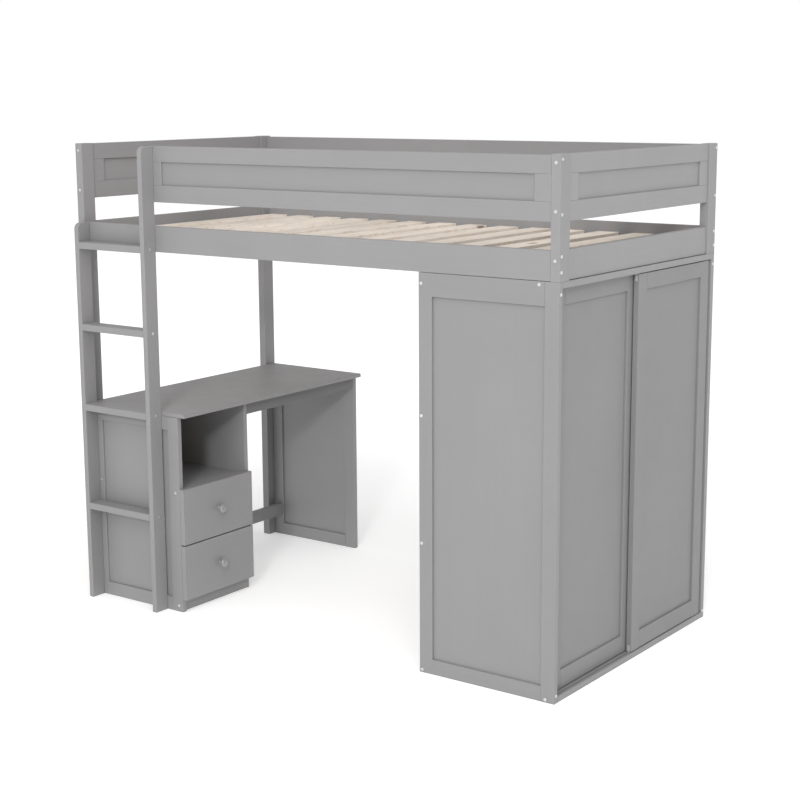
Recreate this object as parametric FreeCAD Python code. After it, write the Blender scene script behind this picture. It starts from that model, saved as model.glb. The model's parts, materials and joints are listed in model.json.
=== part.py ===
import FreeCAD, Part
import os

# Loft bed with a desk, a drawer cabinet, a ladder and a sliding-door wardrobe. Millimetres, +Z up.
# +X runs along the bed from the desk end to the wardrobe end, +Y from the ladder side to the back.
# The origin is on the floor, at the middle of the whole object's footprint.

V = FreeCAD.Vector
AXES = {"x": V(1, 0, 0), "y": V(0, 1, 0), "z": V(0, 0, 1)}

# ---- bed
BED_LENGTH = 2020.0
BED_WIDTH = 1040.0
POST_X = 32.0
POST_Y = 57.0
POST_TOP = 1675.0
BOARD = 20.0              # thickness of rails, guards, frames and case boards
RAIL_BOTTOM = 1304.2      # the rails hang just clear of the wardrobe, and the posts stand on it
RAIL_TOP = 1395.0
END_INSET = 6.0           # end rails and end guards sit in the middle of the posts' thickness
GUARD_BOTTOM = 1478.0
GUARD_TOPS = {"x": 1671.5, "y": 1674.0}  # the long guards, and the end guards
GUARD_STILE = 57.0
GUARD_GROOVE_TOP = 1617.0
GUARD_BOTTOM_BAR = 59.0

# ---- slats
SLAT_COUNT = 14
SLAT_WIDTH = 80.0
SLAT_PITCH = 139.0
SLAT_THICK = 14.0
SLAT_START = 51.0
SLAT_PLAY = 0.5
CLEAT = 20.0
DECK_TOP = 1359.0

# ---- ladder
UPRIGHT_THICK = 20.0
LADDER_DEPTH = 58.0
LEFT_UPRIGHT = 39.0
RIGHT_UPRIGHT = 366.0
UPRIGHT_NOSE = 22.0
RUNG_THICK = 25.0
RUNG_BOTTOMS = (339.0, 710.0, 1006.0, 1303.0)

# ---- desk
DESK_FRONT = 462.0        # front edges of the desk's side frames, from the bed's left end
DESK_TOP_FRONT = 494.0
DESK_TOP_Z = 734.0
DESK_TOP_THICK = 15.0
DESK_BACK_GAP = 8.0
DESK_STILE = 50.0
APRON_THICK = 18.0
APRON_BOTTOM = 672.0
STRETCHER_START = 58.0
STRETCHER_BOTTOM = 86.0
STRETCHER_TOP = 136.0

# ---- drawer cabinet, at the ladder end of the desk
CABINET_WIDTH = 372.0
CABINET_START = 52.0
CABINET_SIDE = 18.0
CABINET_BACK = 6.0
SHELF_TOP = 452.0
SHELF_THICK = 18.0
PLINTH_HEIGHT = 45.0
PLINTH_SETBACK = 10.0
CABINET_FLOOR = 15.0
RUNNER_WIDTH = 14.0
RUNNER_HEIGHT = 17.5
RUNNER_PLAY = 0.5

# ---- drawers
FRONT_THICK = 18.0
FRONT_EDGE_GAP = 1.0
DRAWER_FRONTS = {"lower": (46.0, 248.0), "upper": (252.0, 457.0)}
BOX_BOTTOMS = {"lower": 78.0, "upper": 284.5}
BOX_HEIGHT = 140.0
BOX_LENGTH = 350.0
BOX_SIDE = 12.0
BOX_PLAY = 2.0
BOX_FLOOR = 4.0
BOX_FLOOR_UP = 8.0
BOX_GROOVE = 6.0
# Knob profile as (distance out from the drawer front, radius).
KNOB_BASE = ((0.0, 9.0), (3.0, 8.0), (10.0, 6.0))
KNOB_HEAD = ((16.0, 15.0), (20.0, 16.0), (25.0, 12.5), (27.0, 0.0))
KNOB_SCREW = 2.0

# ---- wardrobe
WARDROBE_DEPTH = 506.0
WARDROBE_HEIGHT = 1303.0
SIDE_STILE = 50.0
SIDE_TOP_BAR = 74.0
SIDE_BOTTOM_BAR = 50.0
DOOR_THICK = 19.0
OUTER_DOOR_INSET = 3.0
INNER_DOOR_INSET = 25.0
DOOR_WIDTH = 505.0
NEAR_DOOR_GAP = 2.0
FAR_DOOR_GAP = 14.0       # the far door stands a little way off its end of the track
DOOR_END_GAP = 3.0
DOOR_STILE = 57.0
DOOR_TOP_BAR = 52.0
DOOR_BOTTOM_BAR = 60.0
TRACK_WIDTH = 4.0
TRACK_DEPTH = 5.0
GLIDE_LENGTH = 24.0
GLIDE_HEIGHT = 22.0
GLIDE_THICK = 8.0
TONGUE_THICK = 3.0
TONGUE_HEIGHT = 7.6
ROD_RADIUS = 12.5
ROD_WALL = 1.5
ROD_Z = 1190.0
SOCKET_RADIUS = 24.0
SOCKET_DEPTH = 14.0
SOCKET_FLANGE = 3.0
SOCKET_COLLAR = 17.0
ROD_PLAY = 0.3

# ---- panels, edges and fasteners
PANEL = 5.0
TONGUE = 7.0              # how far a panel runs into its frame's grooves
PLAY = 0.2
EASE = 1.5                # rounding of the long edges
SOFT_EASE = 3.0           # rounding of the treads and the desk top
BOLT_RADIUS = 3.0
BOLT_HEAD_RADIUS = 5.5
BOLT_HEAD = 1.5
BOLT_BITE = 36.0          # how far a bolt runs into the second piece
HEX_RADIUS = 2.3
HEX_DEPTH = 1.0
RAIL_BOLTS_Z = (1331.0, 1378.0)        # through the posts' end faces
GUARD_BOLTS_Z = (1500.0, 1660.0)
END_BOLTS_Z = (1365.0, 1509.0, 1650.0)  # through the posts' front and back faces
DESK_SIDE_BOLTS_Z = (160.0, 600.0)
LADDER_RAIL_BOLT_Z = 1367.0
LADDER_GUARD_BOLT_Z = 1575.0
CABINET_BOLT_INSETS = (15.0, 20.0)     # from the cabinet's rear and from the desk's front edge
CASE_BACK_BOLTS_Z = (434.0, 850.0, 1269.0)
CASE_BASE_BOLT_INSET = 32.0
CASE_BASE_BOLT_Z = 9.5
CASE_TOP_BOLT_INSET = 69.0             # one bolt holds the top at each end
CASE_POST_BOLT_INSET = 38.0
SCREW_RADIUS = 1.8
SCREW_HEAD_RADIUS = 3.6
SCREW_LENGTH = 28.0
DRILL_PLAY = 0.25

# ---- places that several pieces share
LEFT = -BED_LENGTH / 2
RIGHT = BED_LENGTH / 2
FRONT = LADDER_DEPTH - (BED_WIDTH + LADDER_DEPTH + BOLT_HEAD) / 2
BACK = FRONT + BED_WIDTH
DESK_LEFT = LEFT + POST_X
DESK_EDGE = LEFT + DESK_FRONT
DESK_UNDER = DESK_TOP_Z - DESK_TOP_THICK
CASE_LEFT = RIGHT - WARDROBE_DEPTH
CASE_CEILING = WARDROBE_HEIGHT - BOARD
CABINET_REAR = LEFT + CABINET_START
CABINET_INNER_REAR = CABINET_REAR + CABINET_BACK
CABINET_FAR = FRONT + CABINET_WIDTH
CABINET_FAR_INNER = CABINET_FAR - CABINET_SIDE
OUTER_DOOR_X = RIGHT - OUTER_DOOR_INSET - DOOR_THICK
INNER_DOOR_X = RIGHT - INNER_DOOR_INSET - DOOR_THICK
DOOR_BOTTOM = BOARD + DOOR_END_GAP
DOOR_TOP = CASE_CEILING - DOOR_END_GAP
NEAR_DOOR_Y = FRONT + BOARD + NEAR_DOOR_GAP
FAR_DOOR_Y = BACK - BOARD - FAR_DOOR_GAP - DOOR_WIDTH

nodes = {}
bolts = []


def box(low, high):
    """A plain box between two corners."""
    size = V(*high) - V(*low)
    return Part.makeBox(size.x, size.y, size.z, V(*low))


def edges_along(shape, axis):
    """The straight edges of a shape that run along one axis."""
    def runs(edge):
        step = edge.Vertexes[-1].Point - edge.Vertexes[0].Point
        return abs(abs(step.dot(AXES[axis])) - step.Length) < 1e-6
    return [edge for edge in shape.Edges if runs(edge)]


def board(low, high, along=None, ease=EASE):
    """A board with rounded long edges. Without a direction, every edge is rounded."""
    plain = box(low, high)
    edges = edges_along(plain, along) if along else plain.Edges
    return plain.makeFillet(ease, edges)


def upright_box(axis, span, thick, height):
    """Corners of a box that spans along x or y, with its thickness across that direction."""
    if axis == "x":
        return (span[0], thick[0], height[0]), (span[1], thick[1], height[1])
    return (thick[0], span[0], height[0]), (thick[1], span[1], height[1])


def panel_box(axis, span, thick, height, grow=0.0):
    """A thin panel in the middle of a frame's thickness, grown into the grooves around it."""
    middle = sum(thick) / 2
    half = PANEL / 2 + (PLAY if grow > TONGUE else 0.0)
    wide = (span[0] - grow, span[1] + grow)
    tall = (height[0] - grow, height[1] + grow)
    return box(*upright_box(axis, wide, (middle - half, middle + half), tall))


def framed(axis, span, thick, height, stile, bars, through="stiles"):
    """Two stiles, two rails and the panel in their grooves. Returns the frame's solids and the panel.
    Either the stiles run through and the rails stand between them, or the other way round."""
    bottom_bar, top_bar = bars
    inner = (span[0] + stile, span[1] - stile)
    opening = (height[0] + bottom_bar, height[1] - top_bar)
    stile_height, rail_span = (height, inner) if through == "stiles" else (opening, span)
    stiles = [board(*upright_box(axis, piece, thick, stile_height), along="z")
              for piece in ((span[0], inner[0]), (inner[1], span[1]))]
    rails = [board(*upright_box(axis, rail_span, thick, piece), along=axis)
             for piece in ((height[0], opening[0]), (opening[1], height[1]))]
    groove = panel_box(axis, inner, thick, opening, TONGUE + PLAY)
    frame = [piece.cut(groove) for piece in stiles + rails]
    return frame, panel_box(axis, inner, thick, opening, TONGUE)


def add(name, *solids):
    nodes[name] = list(solids)


def add_framed(name, *dimensions):
    frame, panel = framed(*dimensions)
    add(name + "_frame", *frame)
    add(name + "_panel", panel)


def bolt(group, at, axis, sign, grip, sunk=0.0):
    """One connector bolt: a flat hexagon-socket head on a face, and a shank that runs inwards."""
    bolts.append((group, V(*at), AXES[axis] * sign, grip + BOLT_BITE, sunk))


def bolt_solid(at, way, length, sunk):
    seat = at + way * sunk
    head = Part.makeCylinder(BOLT_HEAD_RADIUS, BOLT_HEAD, seat - way * BOLT_HEAD, way)
    rim = [edge for edge in head.Edges if abs((edge.CenterOfMass - seat).dot(way) + BOLT_HEAD) < 1e-6]
    head = head.makeFillet(BOLT_HEAD / 2, rim)
    shank = Part.makeCylinder(BOLT_RADIUS, length - sunk, seat, way)
    socket = Part.makeCylinder(HEX_RADIUS, HEX_DEPTH, seat - way * BOLT_HEAD, way)
    return head.fuse(shank).cut(socket)


def bolt_hole(at, way, length, sunk):
    """Room for a bolt: the shank's bore and, where the head is sunk, its counterbore."""
    seat = at + way * sunk
    hole = Part.makeCylinder(BOLT_RADIUS + DRILL_PLAY, length + DRILL_PLAY, at, way)
    if sunk:
        hole = hole.fuse(Part.makeCylinder(BOLT_HEAD_RADIUS + DRILL_PLAY, sunk, at, way))
    return hole


def drill(names, holes):
    """Cuts every hole out of every solid of the named nodes that it passes through."""
    for name in names:
        for index, solid in enumerate(nodes[name]):
            for hole in holes:
                if solid.BoundBox.intersect(hole.BoundBox):
                    solid = solid.cut(hole)
            nodes[name][index] = solid


def make_posts():
    corners = {"left": LEFT, "right": RIGHT - POST_X}
    rows = {"front": FRONT, "back": BACK - POST_Y}
    for row, y in rows.items():
        for side, x in corners.items():
            foot = 0.0 if side == "left" else WARDROBE_HEIGHT
            add("post_%s_%s" % (row, side), board((x, y, foot), (x + POST_X, y + POST_Y, POST_TOP)))


def make_rails():
    inner_x = (LEFT + POST_X, RIGHT - POST_X)
    inner_y = (FRONT + POST_Y, BACK - POST_Y)
    height = (RAIL_BOTTOM, RAIL_TOP)
    for name, y in (("front", FRONT), ("back", BACK - BOARD)):
        add("bed_rail_" + name, board(*upright_box("x", inner_x, (y, y + BOARD), height), along="x"))
    for name, x in (("left", LEFT + END_INSET), ("right", RIGHT - END_INSET - BOARD)):
        add("bed_rail_" + name, board(*upright_box("y", inner_y, (x, x + BOARD), height), along="y"))


def make_guards():
    right = RIGHT - POST_X
    inner_y = (FRONT + POST_Y, BACK - POST_Y)
    layout = {
        "guard_front": ("x", (LEFT + RIGHT_UPRIGHT, right), (FRONT, FRONT + BOARD)),
        "guard_back": ("x", (LEFT + POST_X, right), (BACK - BOARD, BACK)),
        "guard_left": ("y", inner_y, (LEFT + END_INSET, LEFT + END_INSET + BOARD)),
        "guard_right": ("y", inner_y, (RIGHT - END_INSET - BOARD, RIGHT - END_INSET)),
    }
    for name, (axis, span, thick) in layout.items():
        top = GUARD_TOPS[axis]
        bars = (GUARD_BOTTOM_BAR, top - GUARD_GROOVE_TOP)
        add_framed(name, axis, span, thick, (GUARD_BOTTOM, top), GUARD_STILE, bars, "rails")


def slat_lefts():
    return [LEFT + SLAT_START + index * SLAT_PITCH for index in range(SLAT_COUNT)]


def make_slats():
    low, high = DECK_TOP - SLAT_THICK - CLEAT, DECK_TOP - SLAT_THICK
    ends = (FRONT + BOARD, BACK - BOARD)
    span = (LEFT + POST_X, RIGHT - POST_X)
    add("slat_cleats",
        board((span[0], ends[0], low), (span[1], ends[0] + CLEAT, high), along="x"),
        board((span[0], ends[1] - CLEAT, low), (span[1], ends[1], high), along="x"))
    add("bed_slats", *[
        board((x, ends[0] + SLAT_PLAY, high), (x + SLAT_WIDTH, ends[1] - SLAT_PLAY, DECK_TOP), along="y")
        for x in slat_lefts()])


def screw_places():
    rows = (FRONT + BOARD + CLEAT / 2, BACK - BOARD - CLEAT / 2)
    return [V(x + SLAT_WIDTH / 2, y, DECK_TOP) for x in slat_lefts() for y in rows]


def screw_shape(at, play):
    """A countersunk screw seen as a cone over a shank, or the hole for it."""
    depth = SCREW_HEAD_RADIUS - SCREW_RADIUS
    down = V(0, 0, -1)
    head = Part.makeCone(SCREW_HEAD_RADIUS + play, SCREW_RADIUS + play, depth, at, down)
    return head.fuse(Part.makeCylinder(SCREW_RADIUS + play, SCREW_LENGTH + play, at + down * depth, down))


def make_screws():
    places = screw_places()
    drill(("bed_slats", "slat_cleats"), [screw_shape(at, DRILL_PLAY) for at in places])
    add("slat_screws", *[screw_shape(at, 0.0) for at in places])


def ladder_upright(x, top):
    """A flat upright with its top front corner rounded off."""
    low, high = (x, FRONT - LADDER_DEPTH, 0.0), (x + UPRIGHT_THICK, FRONT, top)
    plain = box(low, high)
    nose = [edge for edge in edges_along(plain, "x")
            if edge.CenterOfMass.z > top - 1 and edge.CenterOfMass.y < FRONT - 1]
    shaped = plain.makeFillet(UPRIGHT_NOSE, nose)
    return shaped.makeFillet(EASE, edges_along(shaped, "z"))


def make_ladder():
    add("ladder_upright_left", ladder_upright(LEFT + LEFT_UPRIGHT, RAIL_TOP))
    add("ladder_upright_right", ladder_upright(LEFT + RIGHT_UPRIGHT, GUARD_TOPS["x"]))
    span = (LEFT + LEFT_UPRIGHT + UPRIGHT_THICK, LEFT + RIGHT_UPRIGHT)
    add("ladder_rungs", *[
        board((span[0], FRONT - LADDER_DEPTH, z), (span[1], FRONT, z + RUNG_THICK), "x", SOFT_EASE)
        for z in RUNG_BOTTOMS])
    for z in RUNG_BOTTOMS:
        middle = (FRONT - LADDER_DEPTH / 2, z + RUNG_THICK / 2)
        bolt("frame_bolts", (LEFT + LEFT_UPRIGHT, *middle), "x", 1, UPRIGHT_THICK)
        bolt("frame_bolts", (LEFT + RIGHT_UPRIGHT + UPRIGHT_THICK, *middle), "x", -1, UPRIGHT_THICK)
    fixings = ((LEFT_UPRIGHT, LADDER_RAIL_BOLT_Z), (RIGHT_UPRIGHT, LADDER_RAIL_BOLT_Z),
               (RIGHT_UPRIGHT, LADDER_GUARD_BOLT_Z))
    for x, z in fixings:
        bolt("frame_bolts", (LEFT + x + UPRIGHT_THICK / 2, FRONT + BOARD, z), "y", -1, BOARD)


def make_desk():
    height = (0.0, DESK_UNDER)
    span = (DESK_LEFT, DESK_EDGE)
    for name, y in (("desk_side_front", FRONT), ("desk_side_back", BACK - BOARD)):
        add_framed(name, "x", span, (y, y + BOARD), height, DESK_STILE, (DESK_STILE, DESK_STILE))
    top_low = (DESK_LEFT, FRONT, DESK_UNDER)
    top_high = (LEFT + DESK_TOP_FRONT, BACK - DESK_BACK_GAP, DESK_TOP_Z)
    add("desk_top", board(top_low, top_high, ease=SOFT_EASE))
    apron_low = (DESK_EDGE - APRON_THICK, CABINET_FAR, APRON_BOTTOM)
    add("desk_apron", board(apron_low, (DESK_EDGE, BACK - BOARD, DESK_UNDER), along="y"))
    stretcher_x = LEFT + STRETCHER_START
    add("desk_stretcher", board((stretcher_x, CABINET_FAR, STRETCHER_BOTTOM),
                                (stretcher_x + BOARD, BACK - BOARD, STRETCHER_TOP), along="y"))


def cabinet_side():
    """The cabinet's far side, notched at its foot for the plinth's setback."""
    side = board((CABINET_REAR, CABINET_FAR_INNER, 0.0), (DESK_EDGE, CABINET_FAR, DESK_UNDER), along="z")
    notch = box((DESK_EDGE - PLINTH_SETBACK, CABINET_FAR_INNER, 0.0), (DESK_EDGE, CABINET_FAR, PLINTH_HEIGHT))
    return side.cut(notch)


def runner(y, top):
    """A plain wooden strip under one side of a drawer box."""
    low = (CABINET_INNER_REAR, y, top - RUNNER_HEIGHT)
    return board(low, (DESK_EDGE - BOX_SIDE, y + RUNNER_WIDTH, top), along="x")


def make_cabinet():
    near = FRONT + BOARD
    far = CABINET_FAR_INNER
    add("cabinet_side", cabinet_side())
    add("cabinet_back", box((CABINET_REAR, near, PLINTH_HEIGHT), (CABINET_INNER_REAR, far, DESK_UNDER)))
    add("cabinet_shelf", board((CABINET_INNER_REAR, near, SHELF_TOP - SHELF_THICK),
                               (DESK_EDGE, far, SHELF_TOP), along="y"))
    floor_top = PLINTH_HEIGHT + CABINET_FLOOR
    floor_low = (CABINET_INNER_REAR, near, PLINTH_HEIGHT)
    add("cabinet_floor", board(floor_low, (DESK_EDGE, far, floor_top), along="y"))
    plinth_x = DESK_EDGE - PLINTH_SETBACK
    plinth_low = (plinth_x - CABINET_SIDE, near, 0.0)
    add("cabinet_plinth", board(plinth_low, (plinth_x, far, PLINTH_HEIGHT), along="y"))
    add("drawer_runners", *[
        runner(y, BOX_BOTTOMS[name] - RUNNER_PLAY)
        for name in ("lower", "upper") for y in (near, far - RUNNER_WIDTH)])


def drawer_floor(bottom, play):
    """The drawer's thin floor, or the groove that it slides into."""
    inner = BOX_PLAY + BOX_SIDE - BOX_GROOVE - play
    low = (DESK_EDGE - BOX_LENGTH + BOX_SIDE - BOX_GROOVE - play, FRONT + BOARD + inner,
           bottom + BOX_FLOOR_UP - play)
    high = (DESK_EDGE, CABINET_FAR_INNER - inner, bottom + BOX_FLOOR_UP + BOX_FLOOR + play)
    return box(low, high)


def drawer_box(bottom):
    """Two sides and a back, grooved for the floor."""
    rear = DESK_EDGE - BOX_LENGTH
    near, far = FRONT + BOARD + BOX_PLAY, CABINET_FAR_INNER - BOX_PLAY
    top = bottom + BOX_HEIGHT
    groove = drawer_floor(bottom, PLAY)
    walls = [
        board((rear, near, bottom), (DESK_EDGE, near + BOX_SIDE, top), along="x"),
        board((rear, far - BOX_SIDE, bottom), (DESK_EDGE, far, top), along="x"),
        board((rear, near + BOX_SIDE, bottom), (rear + BOX_SIDE, far - BOX_SIDE, top), along="y"),
    ]
    return [wall.cut(groove) for wall in walls]


def knob(x, y, z):
    """A turned knob on the drawer front, with its screw run into the wood behind it."""
    def at(point):
        return V(x + point[0], y, z + point[1])
    neck = Part.BSplineCurve()
    neck.interpolate([at(point) for point in KNOB_BASE + KNOB_HEAD[:1]])
    dome = Part.BSplineCurve()
    dome.interpolate([at(point) for point in KNOB_HEAD])
    screw = [V(x, y, z + KNOB_BASE[0][1]), V(x, y, z + KNOB_SCREW),
             V(x - FRONT_THICK, y, z + KNOB_SCREW), V(x - FRONT_THICK, y, z), V(x + KNOB_HEAD[-1][0], y, z)]
    flats = [Part.makeLine(start, end) for start, end in zip(screw[:-1], screw[1:])]
    outline = Part.Wire([dome.toShape().reversed(), neck.toShape().reversed()] + flats)
    return Part.Face(outline).revolve(V(x, y, z), AXES["x"], 360)


def make_drawers():
    front_low_y, front_high_y = FRONT + FRONT_EDGE_GAP, CABINET_FAR - FRONT_EDGE_GAP
    face = DESK_EDGE + FRONT_THICK
    for name, (low, high) in DRAWER_FRONTS.items():
        front = board((DESK_EDGE, front_low_y, low), (face, front_high_y, high))
        centre = ((front_low_y + front_high_y) / 2, (low + high) / 2)
        hole = Part.makeCylinder(KNOB_SCREW + PLAY, FRONT_THICK, V(DESK_EDGE, *centre), AXES["x"])
        add(name + "_drawer_front", front.cut(hole))
        add(name + "_drawer_box", *drawer_box(BOX_BOTTOMS[name]))
        add(name + "_drawer_floor", drawer_floor(BOX_BOTTOMS[name], 0.0))
        add(name + "_drawer_knob", knob(face, *centre))


def track_grooves(z):
    """The two grooves that the doors' glides run in, in the wardrobe's top or base board."""
    grooves = []
    for door_x in (INNER_DOOR_X, OUTER_DOOR_X):
        middle = door_x + DOOR_THICK / 2
        grooves.append(box((middle - TRACK_WIDTH / 2, FRONT + BOARD, z),
                           (middle + TRACK_WIDTH / 2, BACK - BOARD, z + TRACK_DEPTH)))
    return grooves


def make_case():
    span = (CASE_LEFT, RIGHT)
    inner = (FRONT + BOARD, BACK - BOARD)
    for name, y in (("wardrobe_side_front", FRONT), ("wardrobe_side_back", BACK - BOARD)):
        add_framed(name, "x", span, (y, y + BOARD), (0.0, WARDROBE_HEIGHT), SIDE_STILE,
                   (SIDE_BOTTOM_BAR, SIDE_TOP_BAR))
    top = board((CASE_LEFT, inner[0], CASE_CEILING), (RIGHT, inner[1], WARDROBE_HEIGHT), along="y")
    base = board((CASE_LEFT, inner[0], 0.0), (RIGHT, inner[1], BOARD), along="y")
    for groove in track_grooves(CASE_CEILING):
        top = top.cut(groove)
    for groove in track_grooves(BOARD - TRACK_DEPTH):
        base = base.cut(groove)
    add("wardrobe_top", top)
    add("wardrobe_base", base)
    back_high = (CASE_LEFT + BOARD, inner[1], CASE_CEILING)
    add("wardrobe_back", board((CASE_LEFT, inner[0], BOARD), back_high, along="z"))


def rod_socket(y, way):
    """A round socket screwed to the wardrobe's side, with a blind bore for the rod."""
    x = (CASE_LEFT + BOARD + INNER_DOOR_X) / 2
    at = V(x, y, ROD_Z)
    flange = Part.makeCylinder(SOCKET_RADIUS, SOCKET_FLANGE, at, way)
    collar = Part.makeCylinder(SOCKET_COLLAR, SOCKET_DEPTH, at, way)
    bore = Part.makeCylinder(ROD_RADIUS + ROD_PLAY, SOCKET_DEPTH, at + way * SOCKET_FLANGE, way)
    return flange.fuse(collar).cut(bore)


def make_rod():
    near, far = FRONT + BOARD, BACK - BOARD
    x = (CASE_LEFT + BOARD + INNER_DOOR_X) / 2
    start = V(x, near + SOCKET_FLANGE + ROD_PLAY, ROD_Z)
    length = far - near - 2 * (SOCKET_FLANGE + ROD_PLAY)
    tube = Part.makeCylinder(ROD_RADIUS, length, start, AXES["y"])
    tube = tube.cut(Part.makeCylinder(ROD_RADIUS - ROD_WALL, length, start, AXES["y"]))
    add("hanging_rod", tube)
    add("rod_sockets", rod_socket(near, AXES["y"]), rod_socket(far, -AXES["y"]))


def glide(door_x, y, edge_z, way, play=0.0):
    """A glide let into a door's corner, with a tongue that runs in the track groove."""
    middle = door_x + DOOR_THICK / 2
    half, thin = GLIDE_THICK / 2 + play, TONGUE_THICK / 2
    inside = sorted((edge_z, edge_z - way * (GLIDE_HEIGHT + play)))
    outside = sorted((edge_z, edge_z + way * TONGUE_HEIGHT))
    body = box((middle - half, y - play, inside[0]), (middle + half, y + GLIDE_LENGTH + play, inside[1]))
    tongue = box((middle - thin, y, outside[0]), (middle + thin, y + GLIDE_LENGTH, outside[1]))
    return body.fuse(tongue).removeSplitter()


def make_door(name, door_x, door_y):
    span = (door_y, door_y + DOOR_WIDTH)
    thick = (door_x, door_x + DOOR_THICK)
    add_framed(name, "y", span, thick, (DOOR_BOTTOM, DOOR_TOP), DOOR_STILE, (DOOR_BOTTOM_BAR, DOOR_TOP_BAR))
    places = [(door_x, y, z, way) for y in (span[0], span[1] - GLIDE_LENGTH)
              for z, way in ((DOOR_BOTTOM, -1), (DOOR_TOP, 1))]
    for place in places:
        pocket = glide(*place, play=PLAY)
        nodes[name + "_frame"] = [piece.cut(pocket) for piece in nodes[name + "_frame"]]
    add(name + "_glides", *[glide(*place) for place in places])


def place_bed_bolts():
    """Bolts through the posts into the rails and guards, from the ends and from the sides."""
    for x, sign in ((LEFT, 1), (RIGHT, -1)):
        for y in (FRONT + BOARD / 2, BACK - BOARD / 2):
            ladder_corner = sign > 0 and y < 0
            for z in RAIL_BOLTS_Z + (() if ladder_corner else GUARD_BOLTS_Z):
                bolt("frame_bolts", (x, y, z), "x", sign, POST_X)
        middle = x + sign * POST_X / 2
        for z in END_BOLTS_Z:
            bolt("frame_bolts", (middle, FRONT, z), "y", 1, POST_Y)
            bolt("frame_bolts", (middle, BACK, z), "y", -1, POST_Y)


def place_desk_bolts():
    shelf_z = SHELF_TOP - SHELF_THICK / 2
    for x in (CABINET_REAR + CABINET_BOLT_INSETS[0], DESK_EDGE - CABINET_BOLT_INSETS[1]):
        bolt("frame_bolts", (x, FRONT, shelf_z), "y", 1, BOARD)
    plinth_x = DESK_EDGE - PLINTH_SETBACK - CABINET_SIDE / 2
    bolt("frame_bolts", (plinth_x, FRONT, PLINTH_HEIGHT / 2), "y", 1, BOARD)
    apron = (DESK_EDGE - APRON_THICK / 2, (APRON_BOTTOM + DESK_UNDER) / 2)
    stretcher = (LEFT + STRETCHER_START + BOARD / 2, (STRETCHER_BOTTOM + STRETCHER_TOP) / 2)
    bolt("frame_bolts", (apron[0], BACK, apron[1]), "y", -1, BOARD)
    bolt("frame_bolts", (stretcher[0], BACK, stretcher[1]), "y", -1, BOARD)
    bolt("frame_bolts", (stretcher[0], CABINET_FAR_INNER, stretcher[1]), "y", 1, CABINET_SIDE)
    for y in (FRONT + BOARD / 2, BACK - BOARD / 2):
        for z in DESK_SIDE_BOLTS_Z:
            bolt("frame_bolts", (LEFT, y, z), "x", 1, POST_X)


def place_wardrobe_bolts():
    """Bolts through the sides into the back, top and base, and through the stiles into the rails."""
    board_middle = BOARD / 2
    back_x = CASE_LEFT + board_middle
    side_places = [(back_x, z) for z in CASE_BACK_BOLTS_Z]
    side_places += [(x, CASE_BASE_BOLT_Z) for x in (back_x, RIGHT - CASE_BASE_BOLT_INSET)]
    side_places.append((RIGHT - CASE_TOP_BOLT_INSET, WARDROBE_HEIGHT - board_middle))
    for x, z in side_places:
        bolt("wardrobe_bolts", (x, FRONT, z), "y", 1, BOARD)
        bolt("wardrobe_bolts", (x, BACK, z), "y", -1, BOARD)
    for y in (FRONT + board_middle, BACK - board_middle):
        for z in (SIDE_BOTTOM_BAR / 2, WARDROBE_HEIGHT - SIDE_TOP_BAR / 2):
            bolt("wardrobe_bolts", (RIGHT, y, z), "x", -1, SIDE_STILE)
    between_tracks = (INNER_DOOR_X + OUTER_DOOR_X + DOOR_THICK) / 2
    for y in (FRONT + CASE_POST_BOLT_INSET, BACK - CASE_POST_BOLT_INSET):
        bolt("wardrobe_bolts", (between_tracks, y, CASE_CEILING), "z", 1, BOARD, sunk=BOLT_HEAD + PLAY)


def make_bolts():
    """Makes the bolts, and drills their holes through the pieces that they join."""
    groups = {}
    for group, at, way, length, sunk in bolts:
        groups.setdefault(group, []).append((at, way, length, sunk))
    wooden = [name for name in nodes if "glides" not in name and "rod" not in name and "screws" not in name]
    drill(wooden, [bolt_hole(*spec[1:]) for spec in bolts])
    for group, specs in groups.items():
        add(group, *[bolt_solid(*spec) for spec in specs])


def export_nodes():
    os.makedirs("parts", exist_ok=True)
    for name, solids in nodes.items():
        shape = solids[0] if len(solids) == 1 else Part.makeCompound(solids)
        good = all(solid.isValid() and len(solid.Solids) == 1 for solid in solids)
        print("%-28s %2d solids  %s" % (name, len(solids), "ok" if good else "BAD"))
        shape.exportStep("parts/%s.step" % name)
    print(len(nodes), "nodes")


make_posts()
make_rails()
make_guards()
make_slats()
make_screws()
make_ladder()
make_desk()
make_cabinet()
make_drawers()
make_case()
make_rod()
make_door("near_door", INNER_DOOR_X, NEAR_DOOR_Y)
make_door("far_door", OUTER_DOOR_X, FAR_DOOR_Y)
place_bed_bolts()
place_desk_bolts()
place_wardrobe_bolts()
make_bolts()
export_nodes()
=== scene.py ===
import json
import math

import bpy
from mathutils import Matrix, Vector


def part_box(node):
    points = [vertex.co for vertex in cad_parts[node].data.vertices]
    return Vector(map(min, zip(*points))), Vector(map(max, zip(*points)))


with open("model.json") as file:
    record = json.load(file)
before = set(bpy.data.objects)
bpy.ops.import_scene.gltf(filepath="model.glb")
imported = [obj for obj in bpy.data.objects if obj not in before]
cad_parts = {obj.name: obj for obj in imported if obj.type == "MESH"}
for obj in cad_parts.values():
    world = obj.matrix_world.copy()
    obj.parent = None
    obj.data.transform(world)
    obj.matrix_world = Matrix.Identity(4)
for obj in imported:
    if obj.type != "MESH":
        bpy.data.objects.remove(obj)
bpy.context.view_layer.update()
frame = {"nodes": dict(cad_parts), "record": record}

# Looks for the loft bed with desk: procedural finishes for every CAD node, a pale studio and the
# camera. Metres, in the row frame. Nothing here moves or reshapes a CAD node.
#
# How the settings below are written:
# - a noise (PORES, BRUSH, RINGS and so on) is its scale, its detail and, where given, its roughness
# - a stretch multiplies a noise's position. In wood and paint, the third part runs along the grain
# - a tone is the darkest and the lightest factor on a colour
# - a bump is its height in metres and its strength

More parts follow.
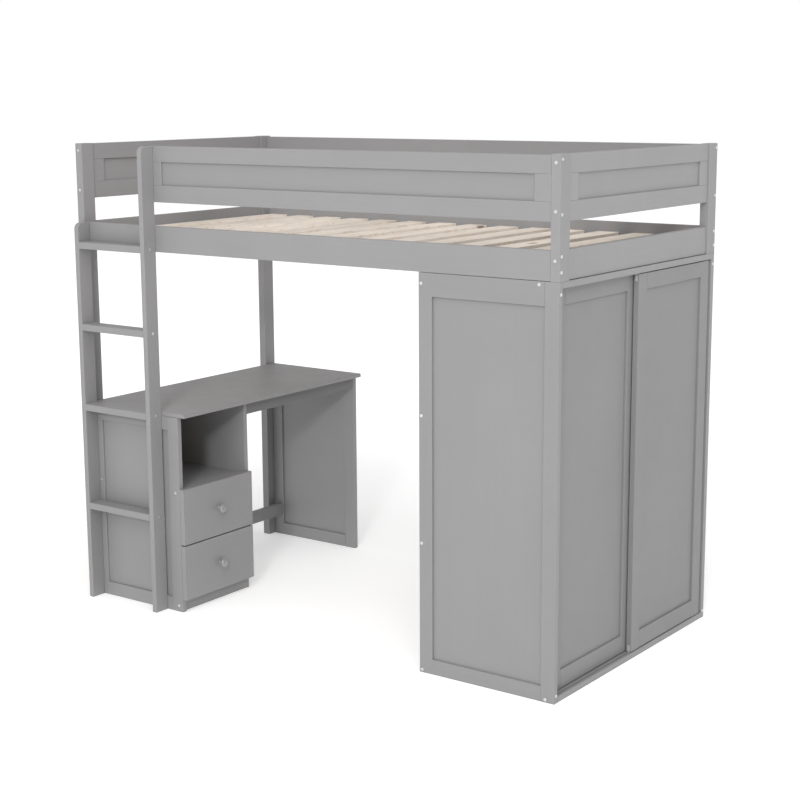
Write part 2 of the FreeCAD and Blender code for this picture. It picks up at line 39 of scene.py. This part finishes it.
# ---- camera, as the object is photographed: from the ladder side, towards the wardrobe's doors
CAMERA_PLACE = Vector((3.420, -4.5895, 1.866))
CAMERA_AZIMUTH = math.radians(36.11)
CAMERA_ELEVATION = math.radians(10.88)
CAMERA_ROLL = math.radians(-0.33)
CAMERA_LENS = 73.19
CAMERA_SENSOR = 36.0
CLIP_END = 200.0

# ---- studio
WHITE = (1.0, 1.0, 1.0, 1.0)
AIM = Vector((0.0, 0.0, 0.8))
# Each lamp as azimuth and elevation in degrees, distance, size and power.
LAMPS = {
    "key": (27.5, 20.5, 20.0, 2.1, 990.0),
    "soft": (32.0, 42.0, 20.0, 8.6, 940.0),
    "top": (30.0, 68.0, 7.0, 3.0, 72.0),
    "side": (72.0, 48.0, 4.6, 2.4, 17.0),
}
SKY_GIVEN = 0.61                      # what the surround gives the object
SKY_SEEN = 1.0                        # what the camera sees of it
FLOOR_HALF = 40.0
FLOOR_GREY = (0.86, 0.86, 0.86, 1.0)
FLOOR_TONE = (0.99, 1.01)
FLOOR_ROUGHNESS = 0.9
FLOOR_CLOUD = (1.5, 2.0)
FLOOR_GRIT = (300.0, 2.0)
FLOOR_BUMP = (0.0001, 0.2)
FLOOR_GLOW = (0.32, 0.52)             # close to the object, and far from it
FLOOR_FADE = (1.6, 4.5)               # where the first turns into the second

# ---- all finishes
NOISE_MIDDLE = (0.3, 0.7)             # where most of a noise's values lie

# ---- paint
PAINT = (0.271, 0.267, 0.271, 1.0)
PAINT_WORN = (0.37, 0.365, 0.365, 1.0)
PAINT_SATIN = (0.43, 0.48)            # roughness, from the smoothest patches to the dullest
PAINT_SPECULAR = 0.42
KNOB_SATIN = (0.20, 0.27)
KNOB_COAT = (0.8, 0.10)               # weight and roughness of a gloss coat
PORES = (420.0, 3.0, 0.6)
PORE_STRETCH = (1.0, 1.0, 0.03)
PORE_DEPTH = (0.28, 0.55)
PORE_TONE = (0.985, 1.0)
PORE_DULLING = 0.05
PORE_BUMP = (0.00005, 0.4)
BRUSH = (120.0, 2.0)
BRUSH_STRETCH = (1.0, 1.0, 0.012)
BRUSH_TONE = (0.992, 1.006)
BRUSH_BUMP = (0.00006, 0.4)
DRIFT = (2.2, 3.0, 0.55)
DRIFT_TONE = (0.98, 1.02)
PEEL = (900.0, 1.0)
PEEL_BUMP = (0.00002, 0.5)
SHEEN = (14.0, 3.0)
BOARD_TONE = (0.985, 1.015)           # from one board to the next
# Edges are where a rounded normal leans away from the true one. They are rubbed in patches.
EDGE_RADIUS = 0.0016
EDGE_SAMPLES = 4
EDGE_LEAN = (0.985, 0.80)
RUB = (38.0, 4.0, 0.65)
RUB_PATCHES = (0.42, 0.66)
RUB_WEIGHT = (0.12, 0.85)
RUB_PALENESS = 0.65
# Painted shade: the paint is darker in seams and inner corners, where shade falls.
PAINTED_SHADE_REACH = 0.010
PAINTED_SHADE_SAMPLES = 6
PAINTED_SHADE_OPEN = (0.25, 0.85)
PAINTED_SHADE_DARKEST = 0.90
# Painted light and shade: factors on the paint of single pieces, by the start of their names. They
# were set so that the photo's own view matches, so they hold its shade and light as well as paint.
PAINTED_LIGHT_TONES = {
    "near_door": 0.875,
    "far_door": 0.84,
    "wardrobe_side_front": 0.975,
    "guard_right": 1.07,
    "bed_rail_right": 1.03,
    "desk_apron": 0.60,
}
STILE_WIDTHS = {"guard": 0.057, "desk": 0.050, "wardrobe": 0.050, "near": 0.057, "far": 0.057}
# A guard's stiles stand between its rails. This is the middle and the half height of that opening.
GUARD_OPENING = (1.577, 0.040)

# ---- bare wood
PINE_LIGHT = (0.865, 0.775, 0.68, 1.0)
PINE_DARK = (0.66, 0.50, 0.37, 1.0)
PINE_KNOT = (0.22, 0.10, 0.045, 1.0)
PINE_SPECULAR = 0.35
SLAT_PITCH = 0.139
# How far a board's seed moves its grain: the first and third parts of its place, and the second.
GRAIN_REACH = (37.0, 5.0)
SWAY = (4.0, 2.0)
SWAY_STRETCH = (1.0, 1.0, 0.35)
SWAY_SIDEWAYS = 0.05
RINGS = (95.0, 2.5, 0.45)
RING_STRETCH = (1.0, 0.18, 0.022)
RING_COUNT = 9.0
LATE_WOOD = (0.55, 1.0)               # the dark part of each ring
LATE_DARKNESS = 0.42
LATE_BUMP = (0.00008, 0.6)
PLAIN_CONTRAST = 0.6
GRAIN_PORES = (900.0, 2.0)
GRAIN_PORE_STRETCH = (1.0, 1.0, 0.02)
GRAIN_PORE_DEPTH = (0.3, 0.6)
GRAIN_PORE_TONE = (0.93, 1.0)
GRAIN_PORE_BUMP = (0.00005, 0.5)
BLOTCH = (9.0, 3.0)
BLOTCH_STRETCH = (1.0, 1.0, 0.3)
BLOTCH_TONE = (0.90, 1.06)
KNOT_SCALE = 9.0
KNOT_STRETCH = (1.0, 1.0, 0.55)
KNOT_EDGE = (0.16, 0.06)
KNOT_FREE = 0.55                      # the share of the cells that have no knot
KNOT_DARKNESS = 0.75
PLANK_TONE = (0.90, 1.06)
PINE_ROUGHNESS = (0.68, 0.58)         # early wood, and late wood

# ---- thin board
FIBRE = (700.0, 3.0, 0.7)
FIBRE_STRETCH = (1.0, 0.25, 1.0)
FIBRE_FLECK = (0.35, 0.7)
FIBRE_DARK = (0.50, 0.38, 0.25, 1.0)
FIBRE_LIGHT = (0.62, 0.50, 0.35, 1.0)
FIBRE_ROUGHNESS = (0.55, 0.72)
FIBRE_BUMP = (0.00004, 0.5)
BOARD_CLOUD = (11.0, 3.0)
BOARD_CLOUD_TONE = (0.92, 1.05)

# ---- metal and plastic. Each metal as its colour and its range of roughness.
BOLT_STEEL = (0.72, 0.72, 0.72, 1.0), (0.28, 0.42)
SCREW_ZINC = (0.70, 0.70, 0.68, 1.0), (0.28, 0.42)
ROD_CHROME = (0.86, 0.86, 0.87, 1.0), (0.08, 0.16)
CRYSTALS = (420.0, 2.0, 0.7)
CRYSTAL_TONE = (0.86, 1.06)
SCRATCHES = (2400.0, 1.0)
SCRATCH_STRETCH = (1.0, 1.0, 0.08)
SCRATCH_BUMP = (0.00002, 0.5)
NYLON = (0.44, 0.44, 0.44, 1.0)
SOCKET_PLASTIC = (0.58, 0.58, 0.57, 1.0)
SPARKS = (1600.0, 2.0)
SPARK_ROUGHNESS = (0.45, 0.62)
SPARK_BUMP = (0.00003, 0.5)
MOULD_CLOUD = (30.0, 2.0)
MOULD_TONE = (0.95, 1.03)


class Graph:
    """The node tree of a material or a world, with short calls for the nodes it is made of."""

    def __init__(self, name, library=bpy.data.materials, shader="Principled BSDF"):
        self.owner = library.new(name)
        self.owner.use_nodes = True
        self.tree = self.owner.node_tree
        self.shader = self.tree.nodes[shader]

    def add(self, kind, inputs=(), **settings):
        """Adds a node. Each input, by name or number, is a value or another node's output."""
        made = self.tree.nodes.new(kind)
        for key, value in settings.items():
            setattr(made, key, value)
        for key, value in dict(inputs).items():
            self.feed(made.inputs[key], value)
        return made

    def feed(self, socket, value):
        if isinstance(value, bpy.types.NodeSocket):
            self.tree.links.new(value, socket)
        else:
            socket.default_value = value

    def math(self, operation, *values):
        return self.add("ShaderNodeMath", enumerate(values), operation=operation).outputs[0]

    def vector_math(self, operation, *values, output="Vector"):
        made = self.add("ShaderNodeVectorMath", enumerate(values), operation=operation)
        return made.outputs[output]

    def vector(self, x, y, z):
        return self.add("ShaderNodeCombineXYZ", {0: x, 1: y, 2: z}).outputs[0]

    def noise(self, vector, scale, detail, roughness=0.5):
        inputs = {"Vector": vector, "Scale": scale, "Detail": detail, "Roughness": roughness}
        return self.add("ShaderNodeTexNoise", inputs).outputs["Fac"]

    def stretched_noise(self, vector, stretch, settings):
        return self.noise(self.vector_math("MULTIPLY", vector, stretch), *settings)

    def spread(self, value, low, high, to_low=0.0, to_high=1.0):
        """Maps low..high onto to_low..to_high, clamped and smooth."""
        inputs = {"Value": value, "From Min": low, "From Max": high,
                  "To Min": to_low, "To Max": to_high}
        return self.add("ShaderNodeMapRange", inputs, interpolation_type="SMOOTHSTEP").outputs[0]

    def between(self, factor, first, second):
        """A number that goes evenly from first to second as the factor goes from 0 to 1."""
        return self.math("MULTIPLY_ADD", factor, second - first, first)

    def mix(self, factor, first, second, blend="MIX"):
        """Blends two colours, or two places. Inputs 6 and 7 are the node's colours."""
        inputs = {0: factor, 6: first, 7: second}
        return self.add("ShaderNodeMix", inputs, data_type="RGBA", blend_type=blend).outputs[2]

    def tone(self, colour, *factors):
        """A colour made lighter or darker by factors near 1."""
        whole = factors[0]
        for factor in factors[1:]:
            whole = self.math("MULTIPLY", whole, factor)
        return self.mix(1.0, colour, self.vector(whole, whole, whole), blend="MULTIPLY")

    def random(self, value, dimensions="3D"):
        """A steady random number for each place, or for each whole number when dimensions is 1D."""
        socket = "W" if dimensions == "1D" else "Vector"
        made = self.add("ShaderNodeTexWhiteNoise", {socket: value}, noise_dimensions=dimensions)
        return made.outputs["Value"]

    def bump(self, height, distance, strength, normal=None):
        inputs = {"Height": height, "Distance": distance, "Strength": strength}
        if normal is not None:
            inputs["Normal"] = normal
        return self.add("ShaderNodeBump", inputs).outputs[0]

    def finish(self, colour, roughness, normal):
        self.feed(self.shader.inputs["Base Color"], colour)
        self.feed(self.shader.inputs["Roughness"], roughness)
        self.feed(self.shader.inputs["Normal"], normal)
        return self.owner

    def even(self, name, value):
        """Sets something that is the same all over the surface, on the shader's own socket."""
        self.shader.inputs[name].default_value = value


def place(graph):
    """The object-space position, whole and as its three parts. It moves with the piece."""
    whole = graph.add("ShaderNodeTexCoord").outputs["Object"]
    parts = graph.add("ShaderNodeSeparateXYZ", {0: whole}).outputs
    return whole, list(parts)


def turned(graph, parts, axis):
    """The position with the grain's axis last, so that the grain runs along the third part."""
    across = [part for index, part in enumerate(parts) if index != axis]
    return graph.vector(across[0], across[1], parts[axis])


def longest_axis(node):
    low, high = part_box(node)
    size = high - low
    return max(range(3), key=lambda index: size[index])


def framed_grain(graph, parts, node):
    """Grain for two stiles and two rails: upright in the stiles, lengthways in the rails.
    Also a seed for each board. A guard's stiles stand between its rails, and the other
    frames' stiles run through."""
    low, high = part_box(node)
    size, middle = high - low, (high + low) / 2
    axis = 0 if size.x > size.y else 1
    family = node.split("_")[0]
    inner = size[axis] / 2 - STILE_WIDTHS[family]
    across = graph.math("SUBTRACT", parts[axis], middle[axis])
    upright = graph.math("GREATER_THAN", graph.math("ABSOLUTE", across), inner)
    level = graph.math("SUBTRACT", parts[2], GUARD_OPENING[0] if family == "guard" else middle.z)
    if family == "guard":
        beside_opening = graph.math("LESS_THAN", graph.math("ABSOLUTE", level), GUARD_OPENING[1])
        upright = graph.math("MULTIPLY", upright, beside_opening)
    side = graph.math("MULTIPLY", graph.math("SIGN", across), upright)
    row = graph.math("MULTIPLY", graph.math("SIGN", level), graph.math("SUBTRACT", 1.0, upright))
    seed = graph.random(graph.vector(side, row, inner))
    grain = graph.mix(upright, turned(graph, parts, axis), turned(graph, parts, 2))
    return grain, seed


def box_seed(graph, node):
    """A steady seed for a node that is one board."""
    low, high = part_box(node)
    return graph.random((low + high) / 2)


def painted_wood(node):
    """Satin grey paint over wood: faint grain and brush lines, a slow drift of tone, paler
    rubbed edges, a little painted shade in the seams and painted light and shade on some whole
    pieces."""
    graph = Graph("paint_" + node)
    whole, parts = place(graph)
    if node.endswith("_frame"):
        grain, seed = framed_grain(graph, parts, node)
    else:
        grain, seed = turned(graph, parts, longest_axis(node)), box_seed(graph, node)
    seeded = graph.vector_math("ADD", grain, graph.vector(seed, seed, seed))
    pores = graph.stretched_noise(seeded, PORE_STRETCH, PORES)
    brush = graph.stretched_noise(seeded, BRUSH_STRETCH, BRUSH)

    rounded = graph.add("ShaderNodeBevel", {"Radius": EDGE_RADIUS}, samples=EDGE_SAMPLES).outputs[0]
    true_normal = graph.add("ShaderNodeNewGeometry").outputs["Normal"]
    alike = graph.vector_math("DOT_PRODUCT", rounded, true_normal, output="Value")
    rub = graph.spread(graph.noise(whole, *RUB), *RUB_PATCHES, *RUB_WEIGHT)
    worn = graph.math("MULTIPLY", graph.spread(alike, *EDGE_LEAN), rub)
    # painted shade: an occlusion test darkens the paint in seams and inner corners
    painted_shade_node = graph.add("ShaderNodeAmbientOcclusion", {"Distance": PAINTED_SHADE_REACH},
                          samples=PAINTED_SHADE_SAMPLES)

    # painted light and shade: a factor that darkens or lightens the whole paint of some pieces
    own = next((value for start, value in PAINTED_LIGHT_TONES.items() if node.startswith(start)), 1.0)
    darkest, lightest = DRIFT_TONE
    toned = graph.tone(
        PAINT,
        graph.spread(graph.noise(whole, *DRIFT), *NOISE_MIDDLE, darkest * own, lightest * own),
        graph.spread(brush, *NOISE_MIDDLE, *BRUSH_TONE),
        graph.spread(pores, *PORE_DEPTH, *PORE_TONE),
        graph.between(seed, *BOARD_TONE),
        graph.spread(painted_shade_node.outputs["AO"], *PAINTED_SHADE_OPEN, PAINTED_SHADE_DARKEST, 1.0),
    )
    colour = graph.mix(graph.math("MULTIPLY", worn, RUB_PALENESS), toned, PAINT_WORN)

    satin = PAINT_SATIN
    if node.endswith("_knob"):
        satin = KNOB_SATIN
        coat, coat_roughness = KNOB_COAT
        graph.even("Coat Weight", coat)
        graph.even("Coat Roughness", coat_roughness)
    graph.even("Specular IOR Level", PAINT_SPECULAR)
    smooth = graph.spread(graph.noise(whole, *SHEEN), *NOISE_MIDDLE, *satin)
    rough = graph.math("MULTIPLY_ADD", pores, PORE_DULLING, smooth)
    normal = graph.bump(graph.noise(whole, *PEEL), *PEEL_BUMP)
    normal = graph.bump(brush, *BRUSH_BUMP, normal)
    normal = graph.bump(pores, *PORE_BUMP, normal)
    return graph.finish(colour, rough, normal)


def bare_wood(node, pitch=None, contrast=1.0):
    """Sanded softwood: long growth lines, a few knots, fine pores and a dry finish.
    With a pitch, the node is a row of boards along X, each with a grain of its own."""
    graph = Graph("wood_" + node)
    _, parts = place(graph)
    if pitch is None:
        axis = longest_axis(node)
        seed = box_seed(graph, node)
    else:
        axis = 1
        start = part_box(node)[0].x
        along = graph.math("SUBTRACT", parts[0], start)
        seed = graph.random(graph.math("FLOOR", graph.math("DIVIDE", along, pitch)), "1D")
    far, near = (graph.math("MULTIPLY", seed, reach) for reach in GRAIN_REACH)
    grain = graph.vector_math("ADD", turned(graph, parts, axis), graph.vector(far, near, far))
    sway = graph.stretched_noise(grain, SWAY_STRETCH, SWAY)
    shift = graph.vector(graph.math("MULTIPLY", sway, SWAY_SIDEWAYS), sway, 0.0)
    rings = graph.stretched_noise(graph.vector_math("ADD", grain, shift), RING_STRETCH, RINGS)
    lines = graph.math("PINGPONG", graph.math("MULTIPLY", rings, RING_COUNT), 1.0)
    late = graph.spread(lines, *LATE_WOOD)
    pores = graph.stretched_noise(grain, GRAIN_PORE_STRETCH, GRAIN_PORES)
    blotch = graph.stretched_noise(grain, BLOTCH_STRETCH, BLOTCH)

    knot_place = graph.vector_math("MULTIPLY", grain, KNOT_STRETCH)
    cells = graph.add("ShaderNodeTexVoronoi", {"Vector": knot_place, "Scale": KNOT_SCALE}).outputs
    draw = graph.add("ShaderNodeSeparateColor", {0: cells["Color"]}).outputs[0]
    chosen = graph.math("GREATER_THAN", draw, KNOT_FREE)
    knot = graph.math("MULTIPLY", graph.spread(cells["Distance"], *KNOT_EDGE), chosen)

    late_amount = graph.math("MULTIPLY", late, LATE_DARKNESS * contrast)
    knot_amount = graph.math("MULTIPLY", knot, KNOT_DARKNESS * contrast)
    colour = graph.mix(knot_amount, graph.mix(late_amount, PINE_LIGHT, PINE_DARK), PINE_KNOT)
    toned = graph.tone(
        colour,
        graph.spread(blotch, *NOISE_MIDDLE, *BLOTCH_TONE),
        graph.spread(pores, *GRAIN_PORE_DEPTH, *GRAIN_PORE_TONE),
        graph.between(seed, *PLANK_TONE),
    )
    graph.even("Specular IOR Level", PINE_SPECULAR)
    normal = graph.bump(late, *LATE_BUMP, graph.bump(pores, *GRAIN_PORE_BUMP))
    return graph.finish(toned, graph.between(late, *PINE_ROUGHNESS), normal)


def thin_board(node):
    """Smooth pressed board with a fibre fleck."""
    graph = Graph("board_" + node)
    whole, _ = place(graph)
    fibre = graph.stretched_noise(whole, FIBRE_STRETCH, FIBRE)
    fleck = graph.mix(graph.spread(fibre, *FIBRE_FLECK), FIBRE_DARK, FIBRE_LIGHT)
    cloud = graph.spread(graph.noise(whole, *BOARD_CLOUD), *NOISE_MIDDLE, *BOARD_CLOUD_TONE)
    rough = graph.spread(fibre, *NOISE_MIDDLE, *FIBRE_ROUGHNESS)
    return graph.finish(graph.tone(fleck, cloud), rough, graph.bump(fibre, *FIBRE_BUMP))


def metal(name, base, roughness):
    """Plated steel: a patchy sheen and faint scratches along Z."""
    graph = Graph(name)
    whole, _ = place(graph)
    crystals = graph.noise(whole, *CRYSTALS)
    scratches = graph.stretched_noise(whole, SCRATCH_STRETCH, SCRATCHES)
    colour = graph.tone(base, graph.spread(crystals, *NOISE_MIDDLE, *CRYSTAL_TONE))
    rough = graph.spread(crystals, *NOISE_MIDDLE, *roughness)
    graph.even("Metallic", 1.0)
    return graph.finish(colour, rough, graph.bump(scratches, *SCRATCH_BUMP))


def plastic(name, base):
    """Moulded matte plastic with a fine spark-eroded grain."""
    graph = Graph(name)
    whole, _ = place(graph)
    sparks = graph.noise(whole, *SPARKS)
    cloud = graph.noise(whole, *MOULD_CLOUD)
    colour = graph.tone(base, graph.spread(cloud, *NOISE_MIDDLE, *MOULD_TONE))
    rough = graph.spread(sparks, *NOISE_MIDDLE, *SPARK_ROUGHNESS)
    return graph.finish(colour, rough, graph.bump(sparks, *SPARK_BUMP))


def finish_for(node, slot):
    makers = {
        "grey_painted_wood": lambda: painted_wood(node),
        "pine_slats": lambda: bare_wood(node, pitch=SLAT_PITCH),
        "plain_wood": lambda: bare_wood(node, contrast=PLAIN_CONTRAST),
        "thin_board": lambda: thin_board(node),
        "bolt_steel": lambda: metal("bolt_" + node, *BOLT_STEEL),
        "zinc_screws": lambda: metal("screw_" + node, *SCREW_ZINC),
        "rod_chrome": lambda: metal("rod_" + node, *ROD_CHROME),
        "nylon": lambda: plastic("nylon_" + node, NYLON),
        "socket_plastic": lambda: plastic("socket_" + node, SOCKET_PLASTIC),
    }
    return makers[slot]()


def dress_nodes():
    """Gives every CAD node the finish of its material slot."""
    for part in frame["record"]["subparts"]:
        node = part["node"]
        data = frame["nodes"][node].data
        data.materials.clear()
        data.materials.append(finish_for(node, part["material_slot"]))


def look_from(azimuth, elevation):
    """The direction to a place at that azimuth, from -Y towards +X, and that elevation."""
    flat = math.cos(elevation)
    return Vector((math.sin(azimuth) * flat, -math.cos(azimuth) * flat, math.sin(elevation)))


def make_camera():
    back = look_from(CAMERA_AZIMUTH, CAMERA_ELEVATION)
    level = Vector((math.cos(CAMERA_AZIMUTH), math.sin(CAMERA_AZIMUTH), 0.0))
    raised = back.cross(level)
    right = math.cos(CAMERA_ROLL) * level + math.sin(CAMERA_ROLL) * raised
    up = math.cos(CAMERA_ROLL) * raised - math.sin(CAMERA_ROLL) * level
    lens = bpy.data.cameras.new("camera")
    lens.lens = CAMERA_LENS
    lens.sensor_width = CAMERA_SENSOR
    lens.clip_end = CLIP_END
    camera = bpy.data.objects.new("camera", lens)
    bpy.context.scene.collection.objects.link(camera)
    turn = Matrix((right, up, back)).transposed()
    camera.matrix_world = Matrix.Translation(CAMERA_PLACE) @ turn.to_4x4()
    bpy.context.scene.camera = camera


def make_lamp(name, azimuth, elevation, distance, size, power):
    """A square lamp that faces the middle of the object."""
    lamp = bpy.data.lights.new(name, "AREA")
    lamp.shape = "SQUARE"
    lamp.size = size
    lamp.energy = power
    light = bpy.data.objects.new(name, lamp)
    bpy.context.scene.collection.objects.link(light)
    way = look_from(math.radians(azimuth), math.radians(elevation))
    light.location = AIM + way * distance
    light.rotation_euler = way.to_track_quat("Z", "Y").to_euler()


def make_world():
    """An even surround that the camera sees plain white, and that lights the object less."""
    graph = Graph("studio", bpy.data.worlds, "Background")
    bpy.context.scene.world = graph.owner
    seen = graph.add("ShaderNodeLightPath").outputs["Is Camera Ray"]
    levels = {"Value": seen, "To Min": SKY_GIVEN, "To Max": SKY_SEEN}
    strength = graph.add("ShaderNodeMapRange", levels).outputs[0]
    graph.even("Color", WHITE)
    graph.feed(graph.shader.inputs["Strength"], strength)


def make_floor():
    """A pale floor that gives a little light of its own, more of it far from the object, so that it
    runs into the white surround and still holds a soft shadow under the object."""
    mesh = bpy.data.meshes.new("studio_floor")
    corners = [(-FLOOR_HALF, -FLOOR_HALF, 0.0), (FLOOR_HALF, -FLOOR_HALF, 0.0),
               (FLOOR_HALF, FLOOR_HALF, 0.0), (-FLOOR_HALF, FLOOR_HALF, 0.0)]
    mesh.from_pydata(corners, [], [(0, 1, 2, 3)])
    floor = bpy.data.objects.new("studio_floor", mesh)
    bpy.context.scene.collection.objects.link(floor)
    graph = Graph("studio_floor")
    whole, _ = place(graph)
    cloud = graph.spread(graph.noise(whole, *FLOOR_CLOUD), *NOISE_MIDDLE, *FLOOR_TONE)
    grit = graph.bump(graph.noise(whole, *FLOOR_GRIT), *FLOOR_BUMP)
    graph.finish(graph.tone(FLOOR_GREY, cloud), FLOOR_ROUGHNESS, grit)
    graph.even("Emission Color", WHITE)
    away = graph.vector_math("LENGTH", whole, output="Value")
    glow = graph.spread(away, *FLOOR_FADE, *FLOOR_GLOW)
    graph.feed(graph.shader.inputs["Emission Strength"], glow)
    mesh.materials.append(graph.owner)


bpy.context.scene.view_settings.view_transform = "Standard"
dress_nodes()
make_camera()
make_world()
make_floor()
for lamp, settings in LAMPS.items():
    make_lamp(lamp, *settings)
